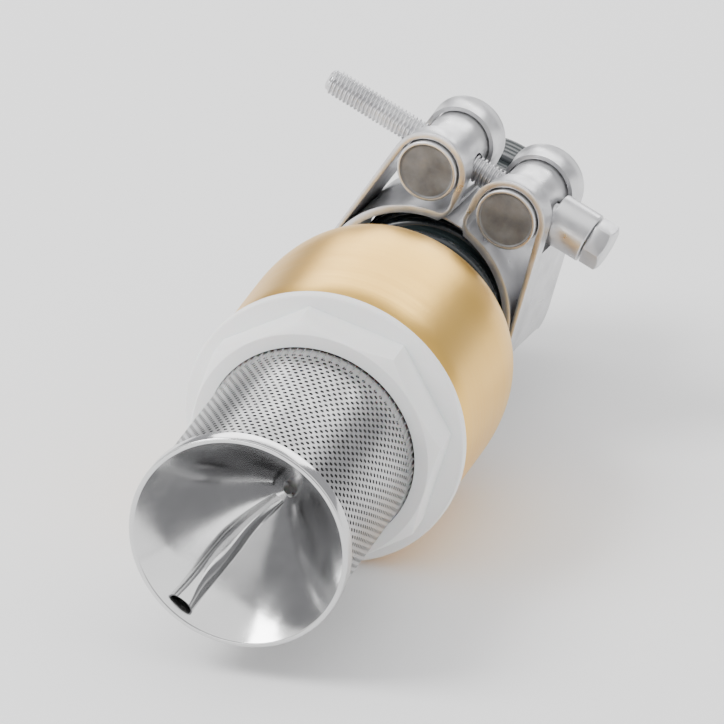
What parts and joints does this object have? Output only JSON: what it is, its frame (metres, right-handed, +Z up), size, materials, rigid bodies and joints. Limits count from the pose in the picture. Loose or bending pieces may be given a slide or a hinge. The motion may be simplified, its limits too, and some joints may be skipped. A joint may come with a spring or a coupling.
{
  "type": "foot valve",
  "caption": "Brass foot valve with a perforated strainer, a nylon adapter, a sprung poppet, and a barbed tail held in a hose end by a bolt clamp.",
  "frame": {"origin": "centre of the hose's cut face, on the valve's axis", "axes": "+Y along the valve's axis from the strainer to the hose, +Z up as the valve lies, +X to the right seen from the strainer"},
  "size_m": [0.062, 0.15, 0.0653],
  "materials": {
    "satin_brass": "satin cast and turned brass",
    "machined_brass": "bright turned brass",
    "white_nylon": "off-white moulded nylon",
    "polished_stainless": "polished stainless sheet",
    "perforated_stainless": "stainless sheet with fine staggered holes",
    "drawn_steel": "bright stainless steel",
    "zinc_steel": "bright zinc-plated steel",
    "black_rubber": "black nitrile rubber",
    "red_fibre": "red vulcanised fibre",
    "dark_hose": "very dark green flexible PVC",
    "hose_rib": "black rigid PVC spiral"
  },
  "bodies": {
    "valve": {"valve_body": "satin_brass", "seat_bush": "machined_brass", "body_o_ring": "black_rubber", "guide_cage": "white_nylon", "poppet_spring": "drawn_steel", "tail_gasket": "red_fibre", "hose_tail": "machined_brass", "hose_end": "dark_hose", "hose_spiral": "hose_rib", "clamp_band": "zinc_steel", "clamp_bridge": "zinc_steel", "nut_trunnion": "zinc_steel", "plain_trunnion": "zinc_steel"},
    "poppet": {"poppet_stem": "drawn_steel", "poppet_disc": "machined_brass", "poppet_seal": "black_rubber", "seal_washer": "drawn_steel", "poppet_nut": "drawn_steel"},
    "strainer_seal": {"adapter_gasket": "black_rubber"},
    "strainer": {"strainer_adapter": "white_nylon", "strainer_tube": "perforated_stainless", "strainer_cone": "polished_stainless"},
    "bolt_sleeve": {"clamp_spacer": "zinc_steel"},
    "bolt": {"clamp_bolt": "zinc_steel"}
  },
  "joints": [
    {"name": "poppet_lift", "type": "slide", "parent": "valve", "child": "poppet", "axis": [0, 1, 0], "range_m": [0, 0.005], "stiffness_N_per_m": 160, "springref_m": -0.006, "deforming": ["poppet_spring"]},
    {"name": "strainer_out", "type": "slide", "parent": "valve", "child": "strainer_seal", "axis": [0, -1, 0], "range_m": [0, 0.00924]},
    {"name": "strainer_turn", "type": "hinge", "parent": "strainer_seal", "child": "strainer", "pos_m": [0, -0.0988, 0], "axis": [0, -1, 0], "range_deg": [0, 1440]},
    {"name": "bolt_out", "type": "slide", "parent": "valve", "child": "bolt_sleeve", "axis": [0.9101, -0.0872, -0.4052], "range_m": [0, 0.008]},
    {"name": "bolt_turn", "type": "hinge", "parent": "bolt_sleeve", "child": "bolt", "pos_m": [0.01025, -0.035, 0.02302], "axis": [0.9101, -0.0872, -0.4052], "range_deg": [0, 3600]}
  ],
  "couplings": [
    {"joint": "strainer_turn", "follows": "strainer_out", "rad_per_m": 2721.2},
    {"joint": "bolt_turn", "follows": "bolt_out", "rad_per_m": 7854}
  ]
}
